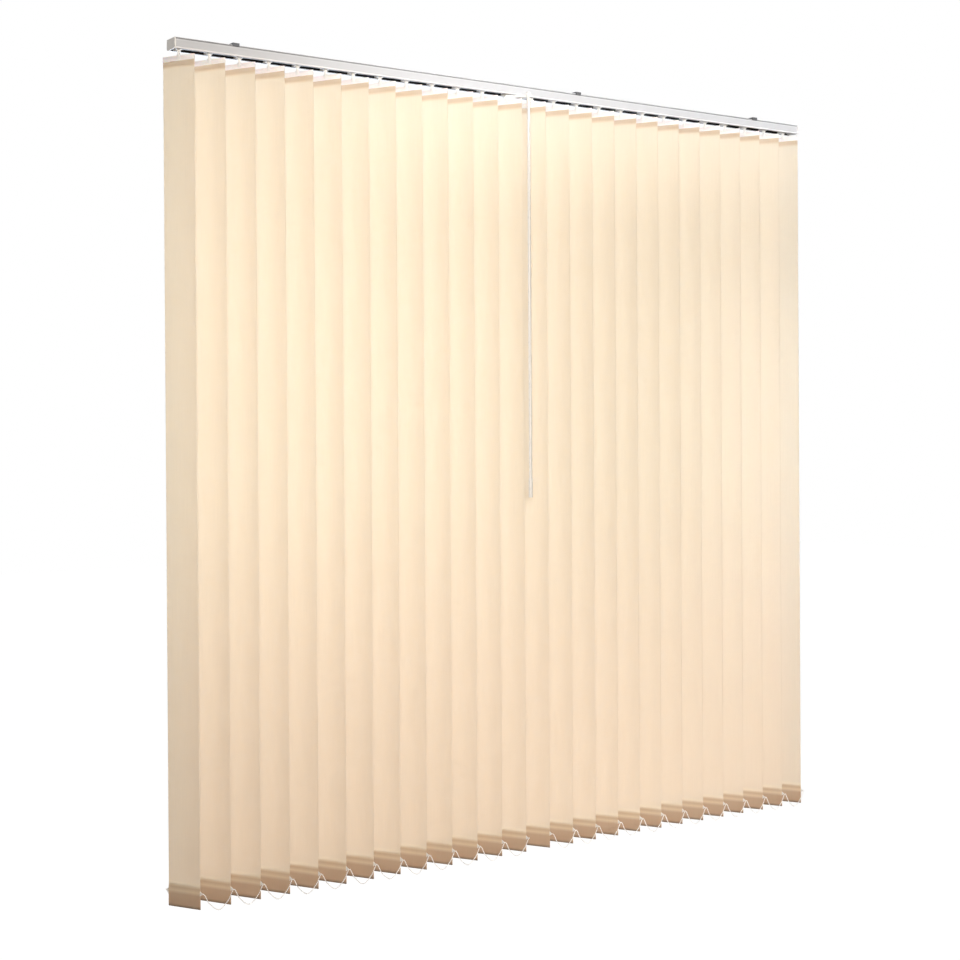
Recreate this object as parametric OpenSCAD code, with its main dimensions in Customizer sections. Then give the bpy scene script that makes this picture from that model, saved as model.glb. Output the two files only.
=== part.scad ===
// Vertical blind with a centre split: fabric slats that turn together and draw back to both sides
// X runs along the rail, the room is on the -Y side and Z = 0 is the ceiling that the clips are screwed to

/* [Blind] */
// Number of slats, half of which draw to each side
slat_count = 26; // [12:2:26]
// Distance between the stems of neighbouring slats
slat_pitch = 77; // [70:1:84]
// Height from the ceiling to the fold at the foot of the slats
blind_h = 2000; // [1300:10:2600]
// Angle between the slats and the rail as hung
rest_angle = 62; // [40:1:80]

/* [Headrail] */
// Depth of the rail from front face to back face
rail_d = 44; // [42:0.5:48]
// Height of the rail
rail_h = 25; // [24:0.5:32]
// Wall of the extrusion
rail_wall = 1.4; // [1.2:0.1:2]
// Width of each turned-in lip that the carriers ride on
lip_w = 7.6; // [7:0.1:8.2]
// Depth of the groove under each top edge, which the clips hook into
groove_in = 1.5; // [1.3:0.1:2]
// Height of that groove
groove_h = 2.4; // [2.2:0.1:3]
// Radius of the lower outside edges
rail_edge_r = 6; // [4:0.1:6.2]
// Gap between the ceiling and the top of the rail
rail_drop = 5; // [4:0.5:10]
// Distance from the last stem to the end of the rail, halfway between both ends
end_margin = 30.5; // [29.5:0.5:60]
// How far the rail stands to the right of the middle of the slats
rail_shift = 11; // [0:1:12]
// Thickness of the end cap's face
cap_t = 3; // [2:0.5:5]
// Depth of the end cap's plug inside the rail
plug_l = 7; // [4:0.5:10]

/* [Ceiling clips] */
// Width of a clip along the rail
clip_w = 17; // [14:1:40]
// Thickness of the clip's sheet
clip_t = 1.5; // [1:0.1:2]
// Screw hole
screw_d = 4.5; // [3.5:0.1:6]
// Distance from the last stem to the screw of an outer clip
clip_inset = 134.5; // [60:0.5:180]
// Place of the middle clip along the rail
middle_clip_x = 182; // [0:1:190]

/* [Tilt rod] */
// Diameter of the grooved rod that turns every stem
rod_d = 6; // [5:0.1:6.4]
// Distance of the rod behind the stems
rod_y = 9; // [8.8:0.1:9.6]
// Height of the rod above the lips
rod_lift = 8.6; // [8.4:0.1:9.5]
// Diameter of the three grooves that drive the gear of each carrier
groove_d = 1.6; // [1:0.1:2]

/* [Carriers] */
// Length of a carrier along the rail
carrier_l = 14; // [13.5:0.5:16]
// Thickness of the shoe plate that slides on the lips
shoe_t = 3; // [2:0.1:4]
// Diameter of the barrel that holds the head of the stem
barrel_d = 13; // [12:0.1:13.5]
// Wall of the tube round the tilt rod
tube_wall = 1.9; // [1.2:0.1:2.2]
// Diameter of the neck that shows in the slot
neck_d = 10; // [8:0.5:12]
// Length of the neck below the rail
neck_drop = 3; // [1:0.5:5]
// How far a lead carrier's shoe plate reaches past the others towards the middle
lead_reach = 12; // [4:1:20]
// Width of a lead carrier's splayed foot
foot_w = 22; // [14:1:30]
// Depth of the splayed foot, front to back
foot_d = 11; // [9:0.5:14]
// Length of the splayed foot below the rail
foot_drop = 6.5; // [6:0.1:6.8]

/* [Spacer strips] */
// Distance between the lanes in which the slotted strips lie side by side
lane_w = 6.2; // [5.6:0.1:6.3]
// Thickness of a strip
strip_t = 0.5; // [0.3:0.05:0.6]
// Diameter of the studs that hold a strip and that run in its slot
stud_d = 2.4; // [2:0.1:2.6]

/* [Hangers] */
// Diameter of the stem
stem_d = 5; // [4:0.1:6]
// Diameter of the stem's head inside the carrier
head_d = 9; // [7.5:0.1:9.2]
// Height of the stem's head
head_h = 4.5; // [3:0.1:6]
// Distance from the rail's underside to the jaw that takes the clamp
jaw_drop = 9.5; // [9:0.5:25]
// Width of the jaw
jaw_w = 9; // [6:0.5:12]
// Wall of the jaw on each side of the clamp
jaw_wall = 0.8; // [0.6:0.1:1]
// Diameter of the pin across the jaw
pin_d = 2.6; // [2:0.1:3]
// Height of the white clamp along the top of a slat
clamp_h = 12; // [10.5:0.5:20]
// Wall of the clamp on each side of the cloth
clamp_wall = 0.6; // [0.4:0.1:0.8]
// Depth of cloth held in the clamp
clamp_grip = 6.5; // [4:0.5:7]

/* [Slats] */
// Width of a slat
slat_w = 89; // [80:1:100]
// Thickness of the cloth
cloth_t = 0.5; // [0.3:0.05:0.7]
// Height of the doubled hem that shows under the clamp
hem_h = 12; // [6:1:25]
// Height of the weight pocket at the foot
pocket_h = 50; // [46:1:70]
// Height of the weld that closes the pocket
weld_h = 4; // [2:0.5:8]

/* [Weights and chains] */
// Thickness of the weight plate
weight_t = 1.6; // [1:0.1:2]
// Height of the weight plate
weight_h = 40; // [30:1:41]
// How far the weight plate stays inside each edge of the slat
weight_inset = 2; // [1:0.5:6]
// Height of the chain ears above the foot of the slat
ear_lift = 37; // [20:1:38]
// How far an ear stands out past the edge of the slat
ear_out = 6; // [4:0.5:9]
// Height of an ear at the edge of the slat
ear_h = 11; // [6:0.5:11.5]
// Diameter of an ear's knob
knob_d = 4; // [3:0.1:4]
// Diameter of the chain
chain_d = 3.2; // [2:0.1:4]

/* [Wand] */
// Place of the wand along the rail
wand_x = 0; // [-8:1:8]
// Distance of the wand in front of the stems
wand_front = 45; // [40:1:70]
// Height from the ceiling to the end of the wand
wand_drop = 1078; // [400:1:1200]
// Diameter of the wand
wand_d = 8; // [6:0.1:9]
// Wall of the grip sleeve round the wand
grip_wall = 1.2; // [0.8:0.1:3]
// Length of the grip sleeve
grip_l = 50; // [30:1:120]
// Diameter of the stub that turns in the lead carrier's arm
stub_d = 5; // [4:0.1:6]
// Width of the arm that carries the wand
arm_w = 9; // [7:0.5:11]
// Thickness of the arm
arm_t = 5; // [3:0.5:5]

/* [Clearances] */
// Gap of sliding and turning fits
run_gap = 0.1; // [0.05:0.01:0.1]
// Gap of loose fits between pieces that hold each other
seat_gap = 0.2; // [0.1:0.05:0.3]

/* [Hidden] */
$fn = 48;
// Small overlap that keeps joined shapes and cuts clean
over = 1;

half = slat_count / 2;
rail_len = (slat_count - 1) * slat_pitch + 2 * (end_margin - cap_t);
outer_clip_x = (slat_count - 1) * slat_pitch / 2 - clip_inset;

// Levels of the rail
rail_top = -rail_drop;
rail_bottom = rail_top - rail_h;
lip_top = rail_bottom + rail_wall;
cavity_top = rail_top - rail_wall;
groove_bottom = cavity_top - groove_h;
cavity_w = rail_d - 2 * rail_wall;
cavity_edge_r = rail_edge_r - rail_wall;
slot_w = cavity_w - 2 * lip_w;

// Levels of a carrier
shoe_bottom = lip_top + run_gap;
shoe_w = cavity_w - 2 * (cavity_edge_r + seat_gap);
rod_z = lip_top + rod_lift;
tube_d = rod_d + 2 * (run_gap + tube_wall);
stud_h = strip_t + 1;
stud_room = 0.8 * strip_t;
barrel_top = cavity_top - stud_room - stud_h;
bar_l = 5;
bar_t = 1.2;
barrel_roof = 3.5;
head_top = barrel_top - barrel_roof;
neck_bottom = rail_bottom - neck_drop;
foot_bottom = rail_bottom - foot_drop;
foot_neck = 2;

// Spacer strip, measured from its own stud towards the lead carrier
// A strip reaches over four more carriers when the blind is drawn back, so the fifth may use its lane again
lanes = 5;
strip_w = lane_w - 0.8;
strip_back = 3;
strip_margin = 2;
slot_start = 10;
slot_end = slat_pitch + stud_d / 2 + seat_gap;
strip_end = slot_end + strip_margin;

// Levels of a slat
jaw_top = rail_bottom - jaw_drop;
jaw_roof = 1.8;
clamp_top = jaw_top - jaw_roof - seat_gap;
clamp_bottom = clamp_top - clamp_h;
clamp_t = 2 * (cloth_t + run_gap + clamp_wall);
jaw_t = clamp_t + 2 * (run_gap + jaw_wall);
pin_z = clamp_top - (clamp_h - clamp_grip) / 2;
jaw_below_pin = 4;
jaw_bottom = pin_z - pin_d / 2 - jaw_below_pin;
cloth_top = clamp_bottom + clamp_grip - seat_gap;
hem_bottom = clamp_bottom - hem_h;
fold_z = -blind_h;
pocket_gap = 0.15;
pocket_t = weight_t + 2 * (pocket_gap + cloth_t);
pocket_top = fold_z + pocket_h;
pocket_taper = 6;

// Weight and chain
weight_w = slat_w - 2 * weight_inset;
weight_bottom = fold_z + cloth_t + pocket_gap + weight_t / 2;
ear_z = fold_z + ear_lift;
ear_end = slat_w / 2 + ear_out;
ear_tip_h = 5;
ear_tip_out = ear_out - 2;
ear_pin_d = 2.6;
knob_t = 1.2;
chain_gap = 0.3;
chain_clear = chain_d / 2 + chain_gap + knob_d / 2 * cos(rest_angle);
chain_reach = ear_end + chain_clear / sin(rest_angle);
// One swag of chain, from one ear to the next: distance along the rail as a share of the pitch, then drop
swag = [[0, 0], [0.06, -5], [0.2, -24], [0.5, -41], [0.8, -24], [0.94, -5]];
chain_sides = 8;

// Wand
wand_y = -wand_front;
boss_wall = 4;
boss_d = stub_d + 2 * (run_gap + boss_wall);
boss_h = 9;
boss_top = foot_bottom + boss_h;
stub_head_d = 9;
stub_head_h = 3;
tab_t = 2;
tab_w = 6;
tab_h = 12;
tab_pin_d = 2.4;
tab_bottom = foot_bottom - over - tab_h;
tab_pin_z = tab_bottom + tab_w / 2;
ferrule_wall = 1;
ferrule_d = wand_d + 2 * ferrule_wall;
ferrule_top = foot_bottom - 2 * over;
ferrule_h = 24;
grip_floor = 2;
grip_nose = 2;

function two_digits(i) = i < 10 ? str("0", i) : str(i);
function slat_name(i) = str("slat_", two_digits(i));
function carrier_name(i) = str("carrier_", two_digits(i));
function stem_x(i) = (i - (slat_count + 1) / 2) * slat_pitch;
// Direction from a carrier to the lead carrier of its half
function lead_side(i) = i <= half ? 1 : -1;
function is_lead(i) = i == half || i == half + 1;
// Place of a carrier counted from the fixed end of its half, and the lane of the strip that starts there
function place(i) = i <= half ? i : slat_count + 1 - i;
function lane_y(p) = (p % lanes - (lanes - 1) / 2) * lane_w;

// Draws an outline in Y and Z out along X
module along_x(length) {
    rotate([90, 0, 90])
        linear_extrude(length, center = true)
            children();
}

// A round bar along X
module bar_x(d, length) {
    rotate([0, 90, 0])
        cylinder(d = d, h = length, center = true);
}

// A round bar along Y
module bar_y(d, length) {
    rotate([90, 0, 0])
        cylinder(d = d, h = length, center = true);
}

// What is cut off a square corner at the origin to round it
module corner_cut(r) {
    difference() {
        translate([-over, -over])
            square(r + over);
        translate([r, r])
            circle(r);
    }
}

// Outside of the rail: body with rounded lower edges and a groove under each top edge
module rail_outline() {
    difference() {
        translate([-rail_d / 2, rail_bottom])
            square([rail_d, rail_h]);
        for (side = [0, 1])
            mirror([side, 0]) {
                translate([-rail_d / 2, rail_bottom])
                    corner_cut(rail_edge_r);
                translate([-rail_d / 2 - over, groove_bottom])
                    square([groove_in + over, groove_h]);
            }
    }
}

// Hollow of the rail above its lips
module cavity_outline() {
    upper_w = cavity_w - 2 * groove_in;
    shoulder = groove_bottom - rail_wall;
    difference() {
        translate([-cavity_w / 2, lip_top])
            square([cavity_w, shoulder - lip_top]);
        for (side = [0, 1])
            mirror([side, 0])
                translate([-cavity_w / 2, lip_top])
                    corner_cut(cavity_edge_r);
    }
    translate([-upper_w / 2, shoulder - over])
        square([upper_w, cavity_top - shoulder + over]);
}

// Extruded rail, open along its underside
module headrail() {
    color("whitesmoke")
        translate([rail_shift, 0, 0])
            along_x(rail_len)
                difference() {
                    rail_outline();
                    cavity_outline();
                    translate([-slot_w / 2, rail_bottom - over])
                        square([slot_w, rail_wall + 2 * over]);
                }
}

// Moulded cap with a plug that holds the end of the tilt rod, drawn for the right-hand end
module end_cap() {
    plug_w = cavity_w - 2 * (groove_in + seat_gap);
    plug_bottom = lip_top + cavity_edge_r;
    plug_top = cavity_top - seat_gap;
    difference() {
        union() {
            translate([rail_len / 2 + cap_t / 2, 0, 0])
                along_x(cap_t)
                    rail_outline();
            translate([(rail_len - plug_l + over) / 2, 0, 0])
                along_x(plug_l + over)
                    translate([-plug_w / 2, plug_bottom])
                        square([plug_w, plug_top - plug_bottom]);
        }
        translate([(rail_len - plug_l) / 2, rod_y, rod_z])
            bar_x(rod_d + 2 * run_gap, plug_l + 2 * run_gap);
    }
}

module end_caps() {
    color("white")
        translate([rail_shift, 0, 0])
            for (side = [0, 1])
                mirror([side, 0, 0])
                    end_cap();
}

// Bent clip screwed to the ceiling, with hooks that hold the rail by its grooves
module ceiling_clip() {
    inner_w = rail_d + 2 * seat_gap;
    hook_top = cavity_top - seat_gap;
    hook_in = groove_in - seat_gap / 2;
    difference() {
        along_x(clip_w)
            union() {
                translate([-inner_w / 2 - clip_t, -clip_t])
                    square([inner_w + 2 * clip_t, clip_t]);
                for (side = [0, 1])
                    mirror([side, 0]) {
                        translate([inner_w / 2, hook_top - clip_t])
                            square([clip_t, clip_t - hook_top]);
                        translate([inner_w / 2 - hook_in, hook_top - clip_t])
                            square([hook_in + clip_t, clip_t]);
                    }
            }
        translate([0, 0, -clip_t - over])
            cylinder(d = screw_d, h = clip_t + 2 * over);
    }
}

module ceiling_clips() {
    color("gainsboro")
        for (x = [-outer_clip_x, middle_clip_x, outer_clip_x])
            translate([x, 0, 0])
                ceiling_clip();
}

// Grooved rod that runs through every carrier
module tilt_rod() {
    color("silver")
        translate([rail_shift, rod_y, rod_z])
            along_x(rail_len - 2 * seat_gap)
                difference() {
                    circle(d = rod_d);
                    for (a = [0 : 120 : 240])
                        rotate(a)
                            translate([rod_d / 2, 0])
                                circle(d = groove_d);
                }
}

// Splayed foot of a lead carrier, round the stem under the rail
module splayed_foot() {
    flare_top = rail_bottom - foot_neck;
    rotate([90, 0, 0])
        linear_extrude(foot_d, center = true)
            polygon([
                [-neck_d / 2, shoe_bottom + over],
                [-neck_d / 2, flare_top],
                [-foot_w / 2, foot_bottom],
                [foot_w / 2, foot_bottom],
                [neck_d / 2, flare_top],
                [neck_d / 2, shoe_bottom + over]
            ]);
}

// Arm from the lead carrier to the boss in which the wand's stub turns
module wand_arm(dx, dy) {
    translate([0, 0, foot_bottom]) {
        rotate([0, 0, atan2(dy, dx)])
            translate([0, -arm_w / 2, 0])
                cube([norm([dx, dy]), arm_w, arm_t]);
        translate([dx, dy, 0])
            cylinder(d = boss_d, h = boss_h);
    }
}

// Bar across the top of a carrier, with a stud for its own strip and one for the strip that ends there
module stud_bar(i) {
    first = is_lead(i) ? 1 : 0;
    last = place(i) > 1 ? 1 : 0;
    translate([-bar_l / 2, -lanes * lane_w / 2, barrel_top - bar_t])
        cube([bar_l, lanes * lane_w, bar_t]);
    for (back = [first : last])
        translate([0, lane_y(place(i) - back), barrel_top - bar_t / 2])
            cylinder(d = stud_d, h = bar_t / 2 + stud_h);
}

// Moulded carrier: shoe plate, barrel round the stem, tube round the rod and the neck in the slot
module carrier_housing(i) {
    reach = is_lead(i) ? lead_reach : 0;
    dx = wand_x - stem_x(i);
    below = is_lead(i) ? foot_bottom : neck_bottom;
    difference() {
        union() {
            mirror([lead_side(i) > 0 ? 0 : 1, 0, 0])
                translate([-carrier_l / 2, -shoe_w / 2, shoe_bottom])
                    cube([carrier_l + reach, shoe_w, shoe_t]);
            translate([0, 0, shoe_bottom])
                cylinder(d = barrel_d, h = barrel_top - shoe_bottom);
            translate([0, rod_y, rod_z])
                bar_x(tube_d, carrier_l);
            translate([-carrier_l / 2, rod_y - tube_d / 2, shoe_bottom])
                cube([carrier_l, tube_d, rod_z - shoe_bottom]);
            translate([0, 0, neck_bottom])
                cylinder(d = neck_d, h = shoe_bottom + over - neck_bottom);
            stud_bar(i);
            if (is_lead(i))
                splayed_foot();
            if (i == half)
                wand_arm(dx, wand_y);
        }
        translate([0, 0, below - over])
            cylinder(d = stem_d + 2 * run_gap, h = head_top - below + over);
        translate([0, 0, head_top - head_h - run_gap])
            cylinder(d = head_d + 2 * seat_gap, h = head_h + 2 * run_gap);
        translate([0, rod_y, rod_z])
            bar_x(rod_d + 2 * run_gap, carrier_l + 2 * over);
        if (i == half)
            translate([dx, wand_y, foot_bottom - over])
                cylinder(d = stub_d + 2 * run_gap, h = boss_h + 2 * over);
    }
}

// Slotted strip on the carrier's stud; the next carrier's stud runs in the slot and stops at its end
module spacer_strip() {
    slot_w = stud_d + 2 * seat_gap;
    translate([0, 0, barrel_top + run_gap])
        difference() {
            translate([-strip_back, -strip_w / 2, 0])
                cube([strip_back + strip_end, strip_w, strip_t]);
            translate([0, 0, -over])
                cylinder(d = stud_d + 2 * run_gap, h = strip_t + 2 * over);
            for (x = [slot_start, slot_end - slot_w / 2])
                translate([x, 0, -over])
                    cylinder(d = slot_w, h = strip_t + 2 * over);
            translate([slot_start, -slot_w / 2, -over])
                cube([slot_end - slot_w / 2 - slot_start, slot_w, strip_t + 2 * over]);
        }
}

module carrier(i) {
    translate([stem_x(i), 0, 0]) {
        color("white")
            carrier_housing(i);
        if (!is_lead(i))
            color("lightsteelblue")
                mirror([lead_side(i) > 0 ? 0 : 1, 0, 0])
                    translate([0, lane_y(place(i)), 0])
                        spacer_strip();
    }
}

// Turned stem with its head in the carrier and a slotted jaw that takes the clamp on a pin
module stem() {
    difference() {
        union() {
            translate([0, 0, head_top - head_h])
                cylinder(d = head_d, h = head_h);
            translate([0, 0, jaw_top - over])
                cylinder(d = stem_d, h = head_top - jaw_top);
            translate([-jaw_w / 2, -jaw_t / 2, jaw_bottom])
                cube([jaw_w, jaw_t, jaw_top - jaw_bottom]);
        }
        translate([-jaw_w / 2 - over, -clamp_t / 2 - run_gap, jaw_bottom - over])
            cube([jaw_w + 2 * over, clamp_t + 2 * run_gap, clamp_top + seat_gap - jaw_bottom + over]);
    }
    translate([0, 0, pin_z])
        bar_y(pin_d, jaw_t);
}

// White clamp along the top of the slat, hung on the jaw's pin and closed on the hem
module hanger_clamp() {
    mouth_h = clamp_grip;
    difference() {
        translate([-slat_w / 2, -clamp_t / 2, clamp_bottom])
            cube([slat_w, clamp_t, clamp_h]);
        translate([-slat_w / 2 - over, -cloth_t - run_gap, clamp_bottom - over])
            cube([slat_w + 2 * over, 2 * (cloth_t + run_gap), mouth_h + over]);
        translate([0, 0, pin_z])
            bar_y(pin_d + 2 * seat_gap, clamp_t + 2 * over);
    }
}

// Outside of the cloth seen edge on: doubled hem, single sheet, weld and rounded weight pocket
module cloth_section() {
    pocket_r = pocket_t / 2;
    translate([-cloth_t, hem_bottom])
        square([2 * cloth_t, cloth_top - hem_bottom]);
    translate([-cloth_t / 2, pocket_top])
        square([cloth_t, hem_bottom - pocket_top + over]);
    translate([-cloth_t, pocket_top])
        square([2 * cloth_t, weld_h]);
    polygon([
        [-cloth_t, pocket_top],
        [-pocket_r, pocket_top - pocket_taper],
        [-pocket_r, fold_z + pocket_r],
        [pocket_r, fold_z + pocket_r],
        [pocket_r, pocket_top - pocket_taper],
        [cloth_t, pocket_top]
    ]);
    translate([0, fold_z + pocket_r])
        circle(pocket_r);
}

// Hollow of the weight pocket seen edge on
module pocket_section() {
    hollow_r = pocket_t / 2 - cloth_t;
    translate([-hollow_r, fold_z + pocket_t / 2])
        square([2 * hollow_r, pocket_h - pocket_taper - pocket_t / 2]);
    translate([0, fold_z + pocket_t / 2])
        circle(hollow_r);
}

module cloth() {
    along_x(slat_w)
        difference() {
            cloth_section();
            pocket_section();
        }
}

// Weight plate in the pocket, with an ear at each end that carries a chain
module weight() {
    edge_x = slat_w / 2;
    tip_x = edge_x + ear_tip_out;
    pin_start = edge_x + ear_tip_out / 2;
    translate([-weight_w / 2, -weight_t / 2, weight_bottom])
        cube([weight_w, weight_t, weight_h]);
    for (side = [0, 1])
        mirror([side, 0, 0]) {
            translate([0, 0, ear_z])
                rotate([90, 0, 0])
                    linear_extrude(weight_t, center = true)
                        polygon([
                            [0, -ear_h / 2],
                            [edge_x, -ear_h / 2],
                            [tip_x, -ear_tip_h / 2],
                            [tip_x, ear_tip_h / 2],
                            [edge_x, ear_h / 2],
                            [0, ear_h / 2]
                        ]);
            translate([(pin_start + ear_end) / 2, 0, ear_z])
                bar_x(ear_pin_d, ear_end - pin_start);
            translate([ear_end - knob_t / 2, 0, ear_z])
                bar_x(knob_d, knob_t);
        }
}

module slat(i) {
    translate([stem_x(i), 0, 0])
        rotate([0, 0, -rest_angle]) {
            color("white")
                stem();
            color("ivory")
                hanger_clamp();
            color("wheat")
                cloth();
            color("snow")
                weight();
        }
}

// Points of a chain over all the spans of one half, as distance along the rail and drop from the ears
chain_points = concat(
    [for (span = [0 : half - 2], p = swag) [(span + p[0]) * slat_pitch, p[1]]],
    [[(half - 1) * slat_pitch, 0]]
);

// Direction of a chain at one of its points
function chain_run(k) =
    let (last = len(chain_points) - 1)
        chain_points[min(k + 1, last)] - chain_points[max(k - 1, 0)];

// Ring of points round the chain at one of its points
function chain_ring(k) =
    let (p = chain_points[k], run = chain_run(k), unit = run / norm(run))
        [for (s = [0 : chain_sides - 1])
            let (a = s * 360 / chain_sides, out = chain_d / 2 * cos(a), across = chain_d / 2 * sin(a))
                [p[0] - unit[1] * out, across, p[1] + unit[0] * out]];

// One chain, hung from the ears of the slats from first on; side is 1 in front and -1 behind
module chain(first, side) {
    rings = len(chain_points);
    points = [for (k = [0 : rings - 1]) each chain_ring(k)];
    walls = [
        for (k = [0 : rings - 2], s = [0 : chain_sides - 1])
            let (a = k * chain_sides + s, b = k * chain_sides + (s + 1) % chain_sides)
                each [[a, b, b + chain_sides], [a, b + chain_sides, a + chain_sides]]
    ];
    start = [for (s = [chain_sides - 1 : -1 : 0]) s];
    end = [for (s = [0 : chain_sides - 1]) (rings - 1) * chain_sides + s];
    ear_x = stem_x(first) + side * chain_reach * cos(rest_angle);
    ear_y = -side * chain_reach * sin(rest_angle);
    color("white")
        translate([ear_x, ear_y, ear_z])
            polyhedron(points, concat([start, end], walls));
}

// Stub that turns in the arm's boss, with a flat tab for the wand's pin
module wand_stub() {
    difference() {
        union() {
            translate([0, 0, boss_top + run_gap])
                cylinder(d = stub_head_d, h = stub_head_h);
            translate([0, 0, foot_bottom - over])
                cylinder(d = stub_d, h = boss_h + 2 * over);
            translate([-tab_t / 2, -tab_w / 2, tab_bottom])
                cube([tab_t, tab_w, tab_h]);
        }
        translate([0, 0, tab_pin_z])
            bar_x(tab_pin_d + 2 * run_gap, tab_t + 2 * over);
    }
}

// Wand with a slotted ferrule pinned to the stub's tab
module wand_rod() {
    tab_slot = tab_t + 2 * seat_gap;
    slot_floor = tab_bottom - seat_gap;
    ferrule_bottom = ferrule_top - ferrule_h;
    rod_bottom = -wand_drop + grip_floor + seat_gap;
    difference() {
        union() {
            translate([0, 0, ferrule_bottom])
                cylinder(d = ferrule_d, h = ferrule_h);
            translate([0, 0, rod_bottom])
                cylinder(d = wand_d, h = ferrule_bottom - rod_bottom + over);
        }
        translate([-tab_slot / 2, -ferrule_d / 2 - over, slot_floor])
            cube([tab_slot, ferrule_d + 2 * over, ferrule_top - slot_floor + over]);
    }
    translate([0, 0, tab_pin_z])
        bar_x(tab_pin_d, ferrule_d - ferrule_wall);
}

// Grip sleeve with a rounded nose on the end of the wand
module wand_grip() {
    grip_r = wand_d / 2 + run_gap + grip_wall;
    bottom = -wand_drop;
    difference() {
        rotate_extrude()
            union() {
                translate([0, bottom + grip_nose])
                    square([grip_r, grip_l - grip_nose]);
                translate([0, bottom])
                    square([grip_r - grip_nose, grip_nose + over]);
                intersection() {
                    translate([grip_r - grip_nose, bottom + grip_nose])
                        circle(grip_nose);
                    translate([0, bottom])
                        square([grip_r, 2 * grip_nose]);
                }
            }
        translate([0, 0, bottom + grip_floor])
            cylinder(d = wand_d + 2 * run_gap, h = grip_l);
    }
}

module wand() {
    translate([wand_x, wand_y, 0]) {
        color("white")
            wand_stub();
        color("whitesmoke")
            wand_rod();
        color("white")
            wand_grip();
    }
}

headrail();
end_caps();
ceiling_clips();
for (i = [1, slat_count]) carrier(i);  // end_carriers
tilt_rod();
for (i = [2 : slat_count - 1])
    carrier(i);
for (i = [1 : slat_count])
    slat(i);
chain(1, 1);  // front_chain_left
chain(1, -1);  // back_chain_left
chain(half + 1, 1);  // front_chain_right
chain(half + 1, -1);  // back_chain_right
wand();
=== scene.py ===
"""Looks of a centre-split vertical blind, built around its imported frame."""

import logging
import math
import random
from dataclasses import dataclass, field
from enum import Enum

import bmesh
import bpy
from mathutils import Matrix, Vector


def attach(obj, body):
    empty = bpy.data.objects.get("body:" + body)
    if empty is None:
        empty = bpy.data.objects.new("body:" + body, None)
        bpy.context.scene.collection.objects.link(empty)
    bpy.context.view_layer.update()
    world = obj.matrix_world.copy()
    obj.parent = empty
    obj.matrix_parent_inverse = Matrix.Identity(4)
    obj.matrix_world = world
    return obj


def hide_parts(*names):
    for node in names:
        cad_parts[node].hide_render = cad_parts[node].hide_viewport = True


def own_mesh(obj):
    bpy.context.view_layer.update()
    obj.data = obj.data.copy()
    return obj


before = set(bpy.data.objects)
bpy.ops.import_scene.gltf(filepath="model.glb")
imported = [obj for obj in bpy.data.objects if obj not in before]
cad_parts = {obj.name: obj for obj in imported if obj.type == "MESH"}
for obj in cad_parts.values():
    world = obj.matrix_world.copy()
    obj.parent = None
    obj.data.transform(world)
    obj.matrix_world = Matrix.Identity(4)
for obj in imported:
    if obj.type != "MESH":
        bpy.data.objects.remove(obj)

LOG = logging.getLogger("vertical_blind")
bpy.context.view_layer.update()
MM = 0.001
# Radians of a wave texture for each unit of its scale
WAVE_RATE = 20.0

Point = tuple[float, float, float]
Flat = tuple[float, float]
Colour = tuple[float, float, float]


class Slot(Enum):
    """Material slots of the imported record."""

    PLASTIC = "white_plastic"
    ROD = "rod_aluminium"
    FABRIC = "slat_fabric"
    CHAIN = "chain_plastic"


class Side(Enum):
    """Half of the blind, by the side to which it draws back."""

    LEFT = "left"
    RIGHT = "right"


class Row(Enum):
    """Row of chain ears, with the sign of its place along a slat."""

    FRONT = 1
    BACK = -1


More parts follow.
